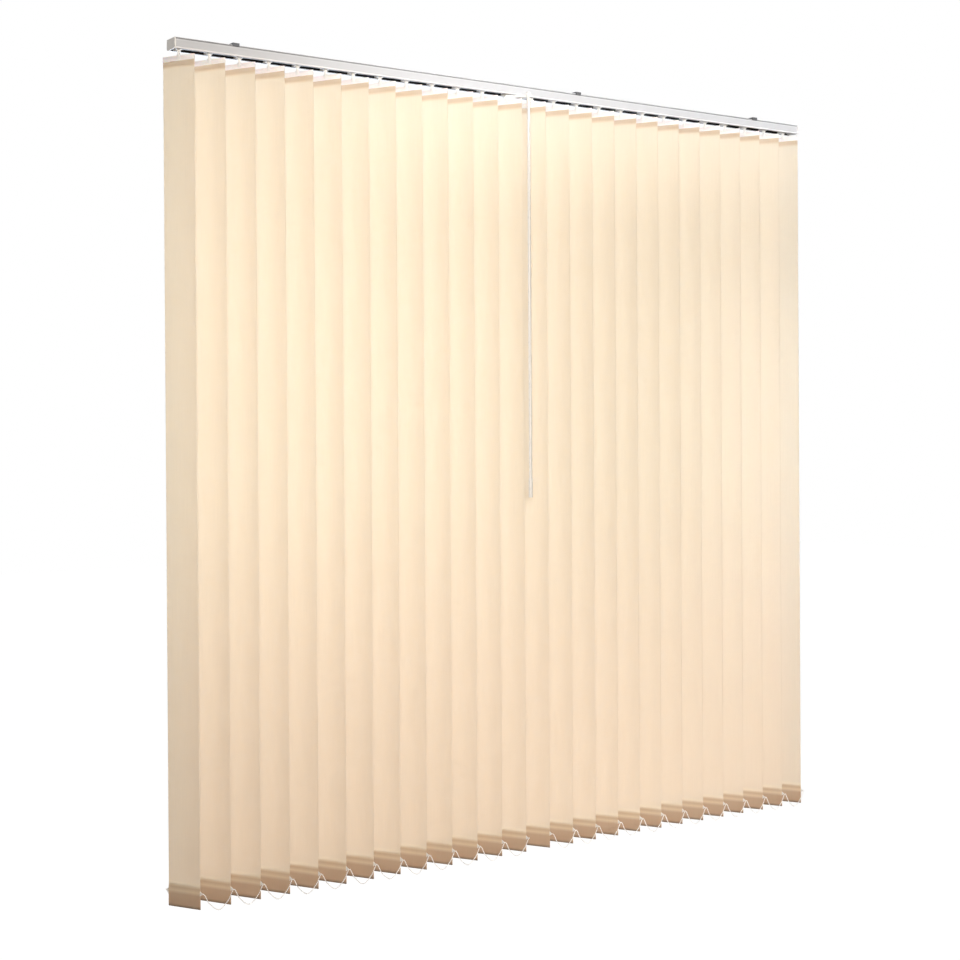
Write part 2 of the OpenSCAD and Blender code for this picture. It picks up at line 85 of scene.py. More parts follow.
class NodeGraph:
    """Short way to write a material's nodes."""

    def __init__(self, name: str) -> None:
        """Starts an empty material with one shader and its output.

        Args:
            name: Name of the material.
        """
        self.material = bpy.data.materials.new(name)
        self.material.use_nodes = True
        self.tree = self.material.node_tree
        self.tree.nodes.clear()
        self.output = self.add("ShaderNodeOutputMaterial")
        self.shader = self.add("ShaderNodeBsdfPrincipled")
        self.link(self.shader, "BSDF", self.output, "Surface")

    def add(self, kind: str, **values: object) -> bpy.types.Node:
        """Adds a node.

        Args:
            kind: Blender's name for the node type.
            values: Properties of the node, or inputs with _ in place of spaces.

        Returns:
            The new node.
        """
        node = self.tree.nodes.new(kind)
        for key, value in values.items():
            socket = node.inputs.get(key.replace("_", " "))
            if socket is not None:
                socket.default_value = value
            else:
                setattr(node, key, value)
        return node

    def link(
        self, source: bpy.types.Node, out: str | int, target: bpy.types.Node, into: str | int
    ) -> None:
        """Joins an output to an input.

        Args:
            source: Node that gives the value.
            out: Name or number of its output.
            target: Node that takes the value.
            into: Name or number of its input.
        """
        self.tree.links.new(source.outputs[out], target.inputs[into])

    def math(
        self, operation: str, source: bpy.types.Node, out: str | int, value: float
    ) -> bpy.types.Node:
        """Adds a sum with a constant second value.

        Args:
            operation: Blender's name for the sum.
            source: Node that gives the first value.
            out: Output that gives it.
            value: Second value.

        Returns:
            The new node.
        """
        node = self.add("ShaderNodeMath", operation=operation)
        self.link(source, out, node, 0)
        node.inputs[1].default_value = value
        return node

    def ramp(
        self, source: bpy.types.Node, out: str | int, stops: list[tuple[float, Colour]]
    ) -> bpy.types.Node:
        """Adds a colour ramp.

        Args:
            source: Node that gives the place on the ramp.
            out: Output that gives it.
            stops: Place and colour of each stop.

        Returns:
            The ramp node.
        """
        node = self.add("ShaderNodeValToRGB")
        elements = node.color_ramp.elements
        while len(elements) < len(stops):
            elements.new(0.5)
        for element, (place, colour) in zip(elements, stops):
            element.position = place
            element.color = (*colour, 1.0)
        self.link(source, out, node, "Fac")
        return node

    def bump(self, source: bpy.types.Node, out: str | int, strength: float, depth: float) -> None:
        """Feeds a height to the shader's normal.

        Args:
            source: Node that gives the height.
            out: Output that gives it.
            strength: Share of the effect, from 0 to 1.
            depth: Depth of the relief in metres.
        """
        node = self.add("ShaderNodeBump", Strength=strength, Distance=depth)
        self.link(source, out, node, "Height")
        self.link(node, "Normal", self.shader, "Normal")

    def set(self, **values: object) -> None:
        """Sets the shader's own sockets; _ stands for a space.

        Args:
            values: Socket names and their values.
        """
        for key, value in values.items():
            self.shader.inputs[key.replace("_", " ")].default_value = value


def darker(colour: Colour, share: float) -> Colour:
    """Gives a share of a colour.

    Args:
        colour: Linear colour.
        share: What is kept of it.

    Returns:
        The colour times the share.
    """
    return (colour[0] * share, colour[1] * share, colour[2] * share)


@dataclass(frozen=True)
class FabricFinish:
    """Stiffened woven cloth that lets light through, with bands of painted shade where it is doubled,
    at the fold and on the weld, a painted highlight on the weld's upper line, and painted shade warmer
    towards the bottom.
    """

    name: str = "slat_cloth"
    colour: Colour = (0.86, 0.752, 0.628)
    thread: float = 0.7 * MM
    weave_strength: float = 0.35
    weave_depth: float = 0.12 * MM
    slub: float = 0.95
    slub_scale: Point = (900.0, 9.0, 1.0)
    roughness: float = 0.88
    gloss: float = 0.2
    sheen: float = 0.05
    scatter: Colour = (1.0, 0.96, 0.91)
    scatter_depth: float = 1.4 * MM
    foot: float = -2000.0 * MM
    tall: float = 1960.0 * MM
    bands: tuple[tuple[float, Colour], ...] = (
        # Fold at the foot, in painted shade
        (0.0, (0.24, 0.21, 0.18)), (5.0 * MM, (0.28, 0.24, 0.21)),
        # Pocket round the weight, in painted shade
        (6.5 * MM, (0.68, 0.56, 0.48)), (33.0 * MM, (0.71, 0.59, 0.51)),
        (38.5 * MM, (0.95, 0.86, 0.76)), (44.0 * MM, (0.97, 0.89, 0.79)),
        # Weld that closes the pocket, in painted shade, with a painted highlight on its upper line
        (45.5 * MM, (0.8, 0.67, 0.56)), (49.5 * MM, (0.82, 0.69, 0.58)),
        (51.5 * MM, (1.08, 1.03, 0.99)), (56.0 * MM, (1.08, 1.03, 0.99)),
        # Single cloth, with painted shade that grows warmer towards the bottom
        (58.0 * MM, (1.0, 0.955, 0.95)), (500.0 * MM, (1.0, 0.97, 0.97)),
        (1000.0 * MM, (1.0, 1.0, 1.0)), (1933.5 * MM, (1.0, 1.0, 1.0)),
        # Doubled hem under the clamp, in painted shade
        (1934.5 * MM, (0.88, 0.77, 0.66)), (1937.0 * MM, (0.92, 0.82, 0.74)),
        (1945.0 * MM, (0.97, 0.89, 0.85)),
    )

    def make(self) -> bpy.types.Material:
        """Builds the material: slubbed colour, bands of painted shade and highlight by height, weave
        relief and scattering.

        Returns:
            The material.
        """
        graph = NodeGraph(self.name)
        metres = graph.add("ShaderNodeUVMap", uv_map="metres")
        streaks = graph.add("ShaderNodeMapping")
        streaks.inputs["Scale"].default_value = self.slub_scale
        graph.link(metres, "UV", streaks, "Vector")
        slubs = graph.add("ShaderNodeTexNoise", Scale=1.0, Detail=4.0, Roughness=0.6)
        graph.link(streaks, "Vector", slubs, "Vector")
        tint = graph.ramp(slubs, "Fac", [(0.25, darker(self.colour, self.slub)), (0.75, self.colour)])
        place = graph.add("ShaderNodeTexCoord")
        axes = graph.add("ShaderNodeSeparateXYZ")
        graph.link(place, "Object", axes, "Vector")
        height = graph.add("ShaderNodeMapRange")
        height.inputs["From Min"].default_value = self.foot
        height.inputs["From Max"].default_value = self.foot + self.tall
        graph.link(axes, "Z", height, "Value")
        # Bands of painted shade and painted highlight by height, multiplied into the slubbed colour
        stops = [(level / self.tall, share) for level, share in self.bands]
        bands_of_painted_light = graph.ramp(height, "Result", stops)
        depth = graph.add("ShaderNodeMix", data_type="RGBA", blend_type="MULTIPLY")
        depth.inputs[0].default_value = 1.0
        graph.link(tint, "Color", depth, 6)
        graph.link(bands_of_painted_light, "Color", depth, 7)
        graph.link(depth, 2, graph.shader, "Base Color")
        band_scale = 2.0 * math.pi / (WAVE_RATE * self.thread)
        warp = graph.add("ShaderNodeTexWave", Scale=band_scale, Distortion=0.4, Detail_Scale=0.4)
        weft = graph.add("ShaderNodeTexWave", Scale=band_scale, Distortion=0.4, Detail_Scale=0.4)
        weft.bands_direction = "Y"
        graph.link(metres, "UV", warp, "Vector")
        graph.link(metres, "UV", weft, "Vector")
        weave = graph.add("ShaderNodeMath", operation="MULTIPLY")
        graph.link(warp, "Fac", weave, 0)
        graph.link(weft, "Fac", weave, 1)
        graph.bump(weave, 0, self.weave_strength, self.weave_depth)
        graph.set(Subsurface_Weight=1.0, Subsurface_Radius=self.scatter)
        graph.set(Subsurface_Scale=self.scatter_depth, Roughness=self.roughness)
        graph.set(Specular_IOR_Level=self.gloss, Sheen_Weight=self.sheen)
        return graph.material


@dataclass(frozen=True)
class PlasticFinish:
    """Moulded plastic with a faint mottle and flow marks."""

    name: str
    colour: Colour
    roughness: float = 0.42
    glow: float = 0.0
    glow_depth: float = 1.5 * MM
    mottle_scale: float = 160.0
    mottle: float = 0.96
    smoother: float = 0.06
    rougher: float = 0.08
    grain_scale: float = 2600.0
    grain_strength: float = 0.12
    grain_depth: float = 0.05 * MM

    def make(self) -> bpy.types.Material:
        """Builds the material: mottled colour, uneven gloss and a fine moulded grain.

        Returns:
            The material.
        """
        graph = NodeGraph(self.name)
        place = graph.add("ShaderNodeTexCoord")
        mottle = graph.add("ShaderNodeTexNoise", Scale=self.mottle_scale, Detail=3.0)
        graph.link(place, "Object", mottle, "Vector")
        tint = graph.ramp(mottle, "Fac", [(0.3, darker(self.colour, self.mottle)), (0.7, self.colour)])
        graph.link(tint, "Color", graph.shader, "Base Color")
        gloss = graph.add("ShaderNodeMapRange")
        gloss.inputs["To Min"].default_value = self.roughness - self.smoother
        gloss.inputs["To Max"].default_value = self.roughness + self.rougher
        graph.link(mottle, "Fac", gloss, "Value")
        graph.link(gloss, "Result", graph.shader, "Roughness")
        grain = graph.add("ShaderNodeTexNoise", Scale=self.grain_scale, Detail=2.0)
        graph.link(place, "Object", grain, "Vector")
        graph.bump(grain, "Fac", self.grain_strength, self.grain_depth)
        graph.set(Subsurface_Weight=self.glow, Subsurface_Scale=self.glow_depth, Specular_IOR_Level=0.5)
        return graph.material


@dataclass(frozen=True)
class EnamelFinish:
    """White enamel on a rail with a dark channel that is partly painted shade, with painted shade on
    the underside and in the groove, and a painted highlight along the lip and below the groove.
    """

    name: str = "rail_enamel"
    colour: Colour = (0.535, 0.55, 0.58)
    # Near black of the channel, partly its own dark colour and partly painted shade
    channel: Colour = (0.012, 0.012, 0.013)
    edge_y: float = 16.0 * MM
    edge_z: float = -24.0 * MM
    edge_r: float = 5.3 * MM
    channel_roof: float = -6.0 * MM
    shoulder: float = -10.0 * MM
    groove_in: float = 1.5 * MM
    foot: float = -30.0 * MM
    tall: float = 25.0 * MM
    bands: tuple[tuple[float, float], ...] = (
        # Underside in painted shade, and lower lip with a painted highlight
        (0.0, 0.1), (0.3 * MM, 0.1), (0.5 * MM, 1.5), (3.2 * MM, 1.5),
        # Plain face, with a painted highlight paler towards the groove
        (4.2 * MM, 1.0), (17.5 * MM, 1.0), (19.0 * MM, 1.08), (20.8 * MM, 1.08),
        # Shade in the groove and the top above it
        (21.2 * MM, 0.45), (23.6 * MM, 0.45), (24.0 * MM, 1.0),
    )
    cloud_scale: float = 30.0
    cloud: float = 0.97
    peel_scale: float = 900.0
    peel_strength: float = 0.08
    peel_depth: float = 0.05 * MM
    roughness: float = 0.35

    def make(self) -> bpy.types.Material:
        """Builds the material: orange-peel enamel, with the dark channel, partly painted shade, picked
        out by its place, and bands of painted shade and highlight by height.

        Returns:
            The material.
        """
        graph = NodeGraph(self.name)
        place = graph.add("ShaderNodeTexCoord")
        axes = graph.add("ShaderNodeSeparateXYZ")
        graph.link(place, "Object", axes, "Vector")
        depth = graph.math("ABSOLUTE", axes, "Y", 0.0)
        beyond = graph.math("MAXIMUM", graph.math("SUBTRACT", depth, 0, self.edge_y), 0, 0.0)
        height = graph.math("MULTIPLY", axes, "Z", -1.0)
        under = graph.math("MAXIMUM", graph.math("ADD", height, 0, self.edge_z), 0, 0.0)
        corner = graph.add("ShaderNodeCombineXYZ")
        graph.link(beyond, 0, corner, "X")
        graph.link(under, 0, corner, "Y")
        reach = graph.add("ShaderNodeVectorMath", operation="LENGTH")
        graph.link(corner, "Vector", reach, 0)
        upper = graph.math("GREATER_THAN", axes, "Z", self.shoulder)
        waist = graph.math("MULTIPLY", upper, 0, self.groove_in)
        spread = graph.add("ShaderNodeMath", operation="ADD")
        graph.link(reach, "Value", spread, 0)
        graph.link(waist, 0, spread, 1)
        within = graph.math("LESS_THAN", spread, 0, self.edge_r)
        below = graph.math("LESS_THAN", axes, "Z", self.channel_roof)
        inside = graph.add("ShaderNodeMath", operation="MULTIPLY")
        graph.link(within, 0, inside, 0)
        graph.link(below, 0, inside, 1)
        cloud = graph.add("ShaderNodeTexNoise", Scale=self.cloud_scale, Detail=3.0)
        graph.link(place, "Object", cloud, "Vector")
        coat = graph.ramp(cloud, "Fac", [(0.3, darker(self.colour, self.cloud)), (0.7, self.colour)])
        level = graph.add("ShaderNodeMapRange")
        level.inputs["From Min"].default_value = self.foot
        level.inputs["From Max"].default_value = self.foot + self.tall
        graph.link(axes, "Z", level, "Value")
        # Bands of painted shade and painted highlight by height
        stops = [(rise / self.tall, (share, share, share)) for rise, share in self.bands]
        lines = graph.ramp(level, "Result", stops)
        coat_with_painted_light = graph.add("ShaderNodeMix", data_type="RGBA", blend_type="MULTIPLY")
        coat_with_painted_light.inputs[0].default_value = 1.0
        graph.link(coat, "Color", coat_with_painted_light, 6)
        graph.link(lines, "Color", coat_with_painted_light, 7)
        # The channel is painted near black, partly painted shade
        paint = graph.add("ShaderNodeMix", data_type="RGBA")
        graph.link(inside, 0, paint, "Factor")
        graph.link(coat_with_painted_light, 2, paint, 6)
        paint.inputs[7].default_value = (*self.channel, 1.0)
        graph.link(paint, 2, graph.shader, "Base Color")
        peel = graph.add("ShaderNodeTexNoise", Scale=self.peel_scale, Detail=1.0)
        graph.link(place, "Object", peel, "Vector")
        graph.bump(peel, "Fac", self.peel_strength, self.peel_depth)
        graph.set(Roughness=self.roughness, Specular_IOR_Level=0.5)
        return graph.material


@dataclass(frozen=True)
class DrawnMetalFinish:
    """Bare metal with fine lines along its length."""

    name: str
    colour: Colour
    roughness: float = 0.34
    line_scale: Point = (6.0, 2400.0, 2400.0)
    line_shade: float = 0.88
    line_strength: float = 0.15
    line_depth: float = 0.03 * MM

    def make(self) -> bpy.types.Material:
        """Builds the material: drawing lines along X in colour and gloss.

        Returns:
            The material.
        """
        graph = NodeGraph(self.name)
        place = graph.add("ShaderNodeTexCoord")
        lines = graph.add("ShaderNodeMapping")
        lines.inputs["Scale"].default_value = self.line_scale
        graph.link(place, "Object", lines, "Vector")
        scratch = graph.add("ShaderNodeTexNoise", Scale=1.0, Detail=3.0)
        graph.link(lines, "Vector", scratch, "Vector")
        shade = darker(self.colour, self.line_shade)
        tint = graph.ramp(scratch, "Fac", [(0.3, shade), (0.7, self.colour)])
        graph.link(tint, "Color", graph.shader, "Base Color")
        graph.bump(scratch, "Fac", self.line_strength, self.line_depth)
        graph.set(Metallic=1.0, Roughness=self.roughness)
        return graph.material


@dataclass
class Palette:
    """One material for each finish on the blind."""

    fabric: bpy.types.Material = field(default_factory=lambda: FabricFinish().make())
    clamp: bpy.types.Material = field(
        default_factory=lambda: PlasticFinish("clamp_plastic", (0.96, 0.9, 0.91), 0.4, 0.15).make()
    )
    plastic: bpy.types.Material = field(
        default_factory=lambda: PlasticFinish("carrier_plastic", (0.86, 0.86, 0.85)).make()
    )
    weight: bpy.types.Material = field(
        default_factory=lambda: PlasticFinish("weight_plastic", (0.82, 0.8, 0.77), 0.5).make()
    )
    chain: bpy.types.Material = field(
        default_factory=lambda: PlasticFinish("chain_plastic", (0.97, 0.955, 0.94), 0.3).make()
    )
    wand: bpy.types.Material = field(
        default_factory=lambda: PlasticFinish("wand_plastic", (0.77, 0.76, 0.74), 0.28).make()
    )
    rail: bpy.types.Material = field(default_factory=lambda: EnamelFinish().make())
    clip: bpy.types.Material = field(
        default_factory=lambda: DrawnMetalFinish("clip_steel", (0.13, 0.13, 0.135), 0.5).make()
    )
    rod: bpy.types.Material = field(
        default_factory=lambda: DrawnMetalFinish("rod_aluminium", (0.72, 0.72, 0.73)).make()
    )
    strip: bpy.types.Material = field(
        default_factory=lambda: DrawnMetalFinish("spacer_steel", (0.5, 0.5, 0.51), 0.3).make()
    )


def add_piece(
    name: str, mesh: bpy.types.Mesh, body: str, material: bpy.types.Material
) -> bpy.types.Object:
    """Puts a mesh in the scene as a piece that rides on a body.

    Args:
        name: Name of the piece.
        mesh: Its mesh, in the frame's own place.
        body: Body that carries it.
        material: Its finish.

    Returns:
        The new object.
    """
    piece = bpy.data.objects.new(name, mesh)
    bpy.context.scene.collection.objects.link(piece)
    mesh.materials.clear()
    mesh.materials.append(material)
    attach(piece, body)
    LOG.info("%s rides on %s", name, body)
    return piece


def soften_edges(piece: bpy.types.Object, width: float, hard: float = math.radians(40.0)) -> None:
    """Rounds a hard piece's edges with a small bevel and shades it smooth.

    Args:
        piece: Piece whose edges are rounded.
        width: Width of the bevel in metres.
        hard: Angle from which an edge is rounded.
    """
    bevel = piece.modifiers.new("soft edges", "BEVEL")
    bevel.width = width
    bevel.segments = 2
    bevel.limit_method = "ANGLE"
    bevel.angle_limit = hard
    bevel.harden_normals = True
    piece.data.shade_smooth()


def solid_numbers(whole: bmesh.types.BMesh) -> list[int]:
    """Numbers the separate solids of a mesh.

    Args:
        whole: Mesh of all the solids.

    Returns:
        The number of each vertex's solid, from 0.
    """
    group = [-1] * len(whole.verts)
    count = 0
    for start in whole.verts:
        if group[start.index] >= 0:
            continue
        group[start.index] = count
        queue = [start]
        while queue:
            vert = queue.pop()
            for edge in vert.link_edges:
                other = edge.other_vert(vert)
                if group[other.index] < 0:
                    group[other.index] = count
                    queue.append(other)
        count += 1
    return group


def loose_solids(
    node: str, same: float = 0.002 * MM, level: float = math.radians(1.0)
) -> list[bpy.types.Mesh]:
    """Copies the separate solids of a CAD node.

    Args:
        node: Name of the node.
        same: Distance within which vertices are one.
        level: Angle within which faces are one.

    Returns:
        One mesh for each solid, from the highest to the lowest and then from left to right.
    """
    whole = bmesh.new()
    whole.from_mesh(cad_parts[node].data)
    bmesh.ops.remove_doubles(whole, verts=whole.verts, dist=same)
    whole.verts.ensure_lookup_table()
    group = solid_numbers(whole)
    meshes = []
    for k in range(max(group) + 1):
        part = whole.copy()
        part.verts.ensure_lookup_table()
        others = [v for v in part.verts if group[v.index] != k]
        bmesh.ops.delete(part, geom=others, context="VERTS")
        bmesh.ops.dissolve_limit(part, angle_limit=level, verts=part.verts, edges=part.edges)
        places = [v.co.copy() for v in part.verts]
        centre = sum(places, Vector()) / len(places)
        mesh = bpy.data.meshes.new(f"{node}_{k}")
        part.to_mesh(mesh)
        part.free()
        meshes.append((round(centre.z, 3), centre.x, mesh))
    whole.free()
    meshes.sort(key=lambda entry: (-entry[0], entry[1]))
    return [mesh for _, _, mesh in meshes]


@dataclass
class Layout:
    """Places of the slats along the rail, as in the frame."""

    count: int = 26
    pitch: float = 77.0 * MM
    rest_angle: float = math.radians(62.0)

    @property
    def half(self) -> int:
        """Number of slats in each half."""
        return self.count // 2

    def stem_x(self, number: int) -> float:
        """Gives the place of a stem along the rail.

        Args:
            number: Number of the slat, from 1 at the left.

        Returns:
            Its X in metres.
        """
        return (number - (self.count + 1) / 2) * self.pitch

    def turned(self, number: int) -> Matrix:
        """Gives the matrix from a slat's own axes to the frame.

        Args:
            number: Number of the slat.

        Returns:
            Its turn and place.
        """
        turn = Matrix.Rotation(-self.rest_angle, 4, "Z")
        return Matrix.Translation((self.stem_x(number), 0.0, 0.0)) @ turn


@dataclass
class Slats:
    """Cloth slats with their stems, clamps and weights."""

    layout: Layout
    palette: Palette
    width: float = 89.0 * MM
    cloth_t: float = 0.5 * MM
    layer_gap: float = 0.04 * MM
    cloth_top: float = -47.2 * MM
    hem_bottom: float = -65.5 * MM
    pocket_top: float = -1950.0 * MM
    weld_top: float = -1946.0 * MM
    pocket_full: float = -1956.0 * MM
    fold: float = -2000.0 * MM
    pocket_half: float = 1.45 * MM
    ease_near: float = 3.0 * MM
    ease_far: float = 8.0 * MM
    columns: int = 8
    rows: int = 36
    fold_steps: int = 6
    bow: float = 0.5 * MM
    lean: float = 0.4
    sway: float = 3.0
    sharp: float = math.radians(35.0)
    edge: float = 0.25 * MM
    first_seed: int = 11000

    def cut_line(self) -> list[Flat]:
        """Follows the cloth's middle layer from its hem end to its pocket end.

        Returns:
            Points in a slat's own Y and Z.
        """
        side = (self.cloth_t + self.layer_gap) / 2
        loop = self.pocket_half - self.cloth_t / 2
        turns = [math.pi * k / self.fold_steps for k in range(self.fold_steps + 1)]
        line = [(side, self.hem_bottom), (side, (self.hem_bottom + self.cloth_top) / 2)]
        top = self.cloth_top - self.cloth_t / 2 - side
        line += [(side * math.cos(turn), top + side * math.sin(turn)) for turn in turns]
        start, end = self.hem_bottom - self.ease_far, self.weld_top + self.ease_far
        line += [(-side, self.hem_bottom), (-side / 2, self.hem_bottom - self.ease_near), (0.0, start)]
        line += [(0.0, start + (end - start) * k / self.rows) for k in range(1, self.rows + 1)]
        line += [(-side / 2, self.weld_top + self.ease_near), (-side, self.weld_top)]
        line += [(-side, self.pocket_top)]
        line += [(-loop, self.pocket_full), (-loop, (self.pocket_full + self.fold) / 2)]
        foot = self.fold + self.pocket_half
        line += [(-loop * math.cos(turn), foot - loop * math.sin(turn)) for turn in turns]
        line += [(loop, (self.pocket_full + self.fold) / 2), (loop, self.pocket_full)]
        line += [(side, self.pocket_top), (side, self.weld_top)]
        return line

    def cut_length(self) -> float:
        """Gives the length of cloth cut for one slat, in metres."""
        line = self.cut_line()
        return sum(math.dist(a, b) for a, b in zip(line, line[1:]))

    def cloth_mesh(self, number: int) -> bpy.types.Mesh:
        """Builds one slat's cloth: a thin closed strip along the cut line, with a slight bow.

        Args:
            number: Number of the slat.

        Returns:
            The mesh, in the frame's own place, with UVs in metres.
        """
        dice = random.Random(self.first_seed + number)
        cup = dice.uniform(-1.0, 1.0)
        lean = dice.uniform(-self.lean, self.lean)
        phase = dice.uniform(0.0, 2.0 * math.pi)
        line = self.cut_line()
        tall = self.hem_bottom - self.weld_top
        place = self.layout.turned(number)
        mesh = bmesh.new()
        uv = mesh.loops.layers.uv.new("metres")
        along = [0.0]
        for a, b in zip(line, line[1:]):
            along.append(along[-1] + math.dist(a, b))
        rings, flat = [], {}
        for k, (y, z) in enumerate(line):
            before, after = Vector(line[max(k - 1, 0)]), Vector(line[min(k + 1, len(line) - 1)])
            run = (after - before).normalized()
            normal = Vector((-run.y, run.x)) * self.cloth_t / 2
            share = min(max((self.hem_bottom - z) / tall, 0.0), 1.0)
            swell = self.bow * math.sin(math.pi * share)
            twist = lean * math.sin(self.sway * share + phase)
            ring = []
            for sign in (1, -1):
                for c in range(self.columns + 1):
                    u = c / self.columns
                    across = 2.0 * u - 1.0
                    shift = swell * (cup * (1.0 - across * across) + twist * across)
                    out, up = y + sign * normal.x + shift, z + sign * normal.y
                    vert = mesh.verts.new(place @ Vector((across * self.width / 2, out, up)))
                    flat[vert] = (u * self.width, along[k])
                    ring.append(vert)
            rings.append(ring)
        n = self.columns + 1
        for ring, below in zip(rings, rings[1:]):
            for c in range(self.columns):
                mesh.faces.new((ring[c], ring[c + 1], below[c + 1], below[c]))
                mesh.faces.new((ring[n + c + 1], ring[n + c], below[n + c], below[n + c + 1]))
            mesh.faces.new((ring[n], ring[0], below[0], below[n]))
            mesh.faces.new((ring[n - 1], ring[2 * n - 1], below[2 * n - 1], below[n - 1]))
        for ring, flip in ((rings[0], False), (rings[-1], True)):
            for c in range(self.columns):
                corners = (ring[c + 1], ring[c], ring[n + c], ring[n + c + 1])
                mesh.faces.new(tuple(reversed(corners)) if flip else corners)
        for face in mesh.faces:
            face.smooth = True
            for loop in face.loops:
                loop[uv].uv = flat[loop.vert]
        bmesh.ops.recalc_face_normals(mesh, faces=mesh.faces)
        data = bpy.data.meshes.new(f"cloth_{number:02d}")
        mesh.to_mesh(data)
        mesh.free()
        data.set_sharp_from_angle(angle=self.sharp)
        return data

    def build(self, number: int) -> None:
        """Dresses one slat: cloth, clamp, stem and weight.

        Args:
            number: Number of the slat.
        """
        tag = f"{number:02d}"
        node = f"slat_{tag}"
        stem, clamp, _, weight = loose_solids(node)
        mesh = self.cloth_mesh(number)
        cloth = add_piece(f"cloth_{tag}", mesh, node, self.palette.fabric)
        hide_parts(node)
        pieces = [
            add_piece(f"stem_{tag}", stem, node, self.palette.plastic),
            add_piece(f"clamp_{tag}", clamp, node, self.palette.clamp),
            add_piece(f"weight_{tag}", weight, node, self.palette.weight),
        ]
        for piece in pieces:
            soften_edges(piece, self.edge)
        self.cut_length()
        LOG.info("slat %s dressed", tag)


@dataclass
class Carriers:
    """Carriers in the rail, each with its spacer strip."""

    layout: Layout
    palette: Palette
    edge: float = 0.3 * MM

    def dress(self, node: str, body: str, numbers: list[int]) -> None:
        """Replaces one node of carriers by housings and strips with their own finishes.

        Args:
            node: Node that holds the carriers.
            body: Body that carries them.
            numbers: Numbers of its carriers from left to right.
        """
        solids = loose_solids(node)
        strips, housings = solids[: -len(numbers)], solids[-len(numbers) :]
        for number, mesh in zip(numbers, housings):
            housing = add_piece(f"housing_{number:02d}", mesh, body, self.palette.plastic)
            soften_edges(housing, self.edge)
            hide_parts(node)
        for number, mesh in zip(numbers, strips):
            add_piece(f"spacer_{number:02d}", mesh, body, self.palette.strip)
        LOG.info("%s dressed", node)

    def build(self) -> None:
        """Dresses every carrier."""
        self.dress("end_carriers", "root", [1, self.layout.count])
        for number in range(2, self.layout.count):
            node = f"carrier_{number:02d}"
            self.dress(node, node, [number])


@dataclass
class Chains:
    """Bead chains that link the feet of the slats of each half."""

    layout: Layout
    palette: Palette
    ear_z: float = -1963.0 * MM
    reach: float = 53.715 * MM
    bead_d: float = 3.2 * MM
    bead_pitch: float = 4.4 * MM
    string_d: float = 1.2 * MM
    stack_pitch: float = 18.0 * MM
    swag: tuple[Flat, ...] = (
        (0.0, 0.0), (0.06, -5.0 * MM), (0.2, -24.0 * MM),
        (0.5, -41.0 * MM), (0.8, -24.0 * MM), (0.94, -5.0 * MM),
    )
    steps: int = 12
    string_sides: int = 6
    bead_detail: int = 1

    def route(self, side: Side, row: Row) -> list[Vector]:
        """Follows a chain from the fixed end of its half, in a smooth line through the swag's points.

        Args:
            side: Half of the blind.
            row: Front or back ears.

        Returns:
            Close points of its middle line.
        """
        first = 1 if side is Side.LEFT else self.layout.half + 1
        x = self.layout.stem_x(first) + row.value * self.reach * math.cos(self.layout.rest_angle)
        y = -row.value * self.reach * math.sin(self.layout.rest_angle)
        pitch, spans = self.layout.pitch, self.layout.half - 1
        knots = [((s + share) * pitch, drop) for s in range(spans) for share, drop in self.swag]
        knots.append((spans * pitch, 0.0))
        line = []
        last = len(knots) - 1
        for k in range(last):
            p0, p1, p2, p3 = (Vector(knots[min(max(j, 0), last)]) for j in (k - 1, k, k + 1, k + 2))
            for s in range(self.steps):
                t = s / self.steps
                line.append(
                    0.5 * (2 * p1 + (p2 - p0) * t + (2 * p0 - 5 * p1 + 4 * p2 - p3) * t**2
                           + (3 * p1 - p0 - 3 * p2 + p3) * t**3)
                )
        line.append(Vector(knots[-1]))
        points = [Vector((x + p.x, y, self.ear_z + p.y)) for p in line]
        return points if side is Side.LEFT else points[::-1]

    @staticmethod
    def even(points: list[Vector], gap: float) -> list[Vector]:
        """Spaces points evenly along a line.

        Args:
            points: Points of the line.
            gap: Distance wanted between them.

        Returns:
            Points from end to end, about that far apart.
        """
        lengths = [0.0]
        for a, b in zip(points, points[1:]):
            lengths.append(lengths[-1] + (b - a).length)
        count = round(lengths[-1] / gap)
        found, k = [], 0
        for i in range(count + 1):
            want = lengths[-1] * i / count
            while k < len(lengths) - 2 and lengths[k + 1] < want:
                k += 1
            share = (want - lengths[k]) / (lengths[k + 1] - lengths[k])
            found.append(points[k].lerp(points[k + 1], share))
        return found

    def chain_mesh(self, name: str, line: list[Vector]) -> bpy.types.Mesh:
        """Threads beads on a string.

        Args:
            name: Name of the mesh.
            line: Middle line of the chain.

        Returns:
            The mesh of beads and string.
        """
        mesh = bmesh.new()
        places = self.even(line, self.bead_pitch)
        for a, b in zip(places, places[1:]):
            run = b - a
            turn = run.to_track_quat("Z", "Y").to_matrix().to_4x4()
            matrix = Matrix.Translation((a + b) / 2) @ turn
            bmesh.ops.create_cone(
                mesh, segments=self.string_sides, radius1=self.string_d / 2, radius2=self.string_d / 2,
                depth=run.length, matrix=matrix,
            )
        for place in places:
            bmesh.ops.create_icosphere(
                mesh, subdivisions=self.bead_detail, radius=self.bead_d / 2,
                matrix=Matrix.Translation(place),
            )
        for face in mesh.faces:
            face.smooth = True
        data = bpy.data.meshes.new(name)
        mesh.to_mesh(data)
        mesh.free()
        return data

    def build(self) -> None:
        """Hangs the four chains, each on the body of its own node."""
        for side in Side:
            for row in Row:
                node = f"{row.name.lower()}_chain_{side.value}"
                line = self.route(side, row)
                mesh = self.chain_mesh(node, line)
                chain = add_piece(f"beads_{node}", mesh, node, self.palette.chain)
                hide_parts(node)
                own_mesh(chain)


